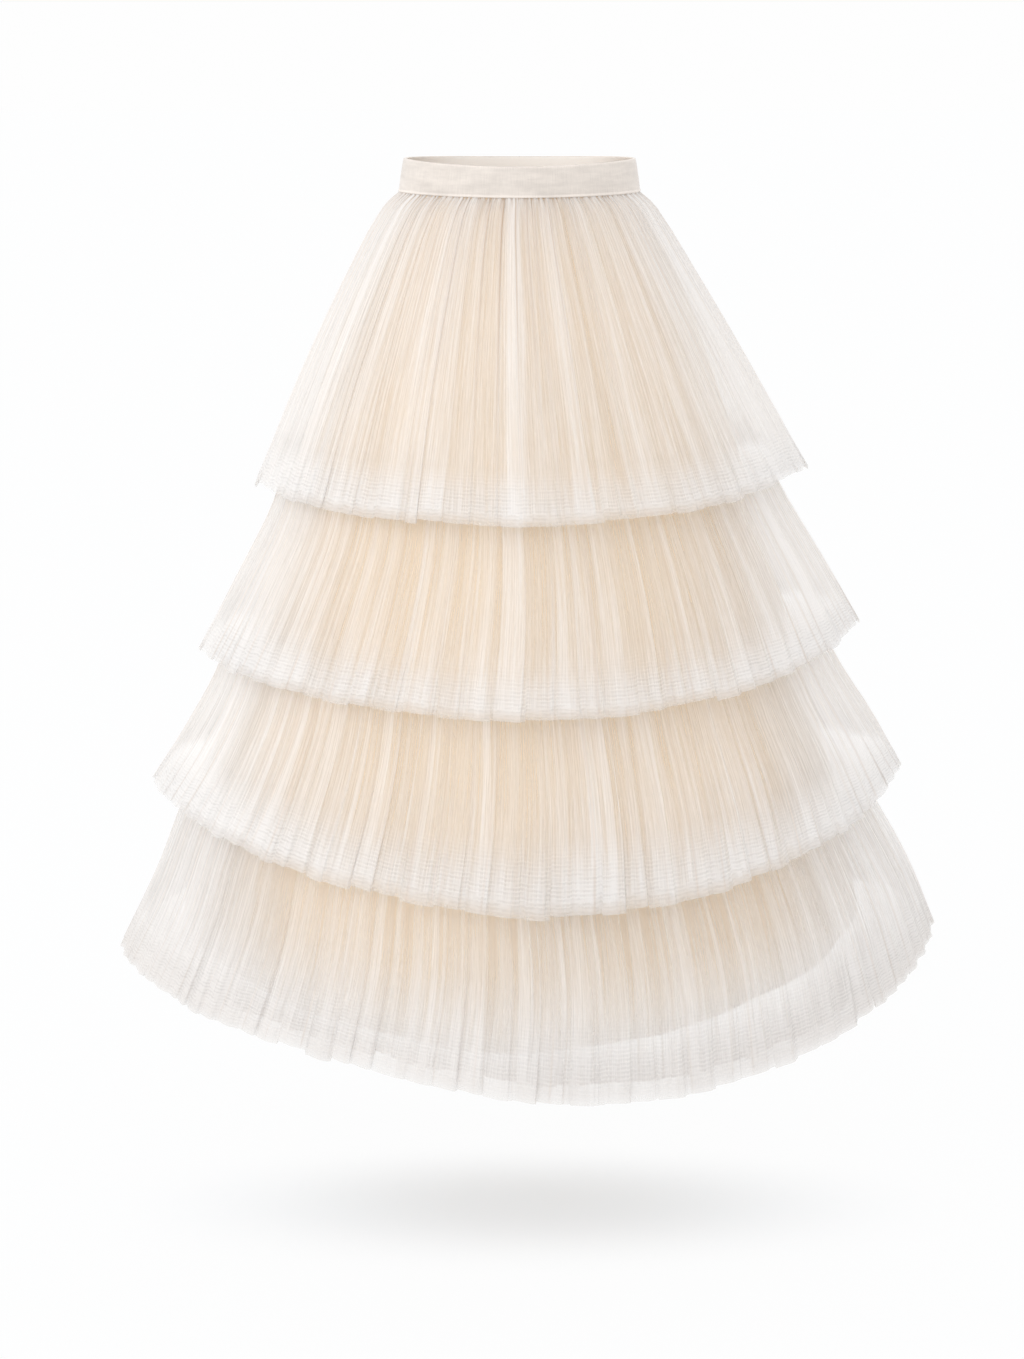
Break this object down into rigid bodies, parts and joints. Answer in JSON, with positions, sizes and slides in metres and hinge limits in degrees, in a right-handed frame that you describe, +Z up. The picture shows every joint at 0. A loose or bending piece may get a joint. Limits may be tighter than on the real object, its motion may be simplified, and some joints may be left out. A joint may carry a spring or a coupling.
{
  "type": "tulle skirt",
  "caption": "Hollow tiered tulle skirt with a satin waistband, an A-line lining and overlapping pleated tiers, filled out as worn.",
  "frame": {"origin": "middle of the waist opening, level with the waistband's top edge at the side seams", "axes": "+Z up, -Y towards the skirt's front, +X towards the wearer's left"},
  "size_m": [0.9413, 0.7907, 0.9197],
  "materials": {
    "satin_band": "satin, pale ivory",
    "lining": "plain satin, champagne",
    "tulle": "fine net, ivory, see-through"
  },
  "bodies": {
    "root": {"waistband": "satin_band", "lining_front": "lining", "lining_back": "lining", "tier_1_front": "tulle", "tier_1_back": "tulle", "tier_2_front": "tulle", "tier_2_back": "tulle", "tier_3_front": "tulle", "tier_3_back": "tulle", "tier_4_front": "tulle", "tier_4_back": "tulle"}
  },
  "joints": []
}
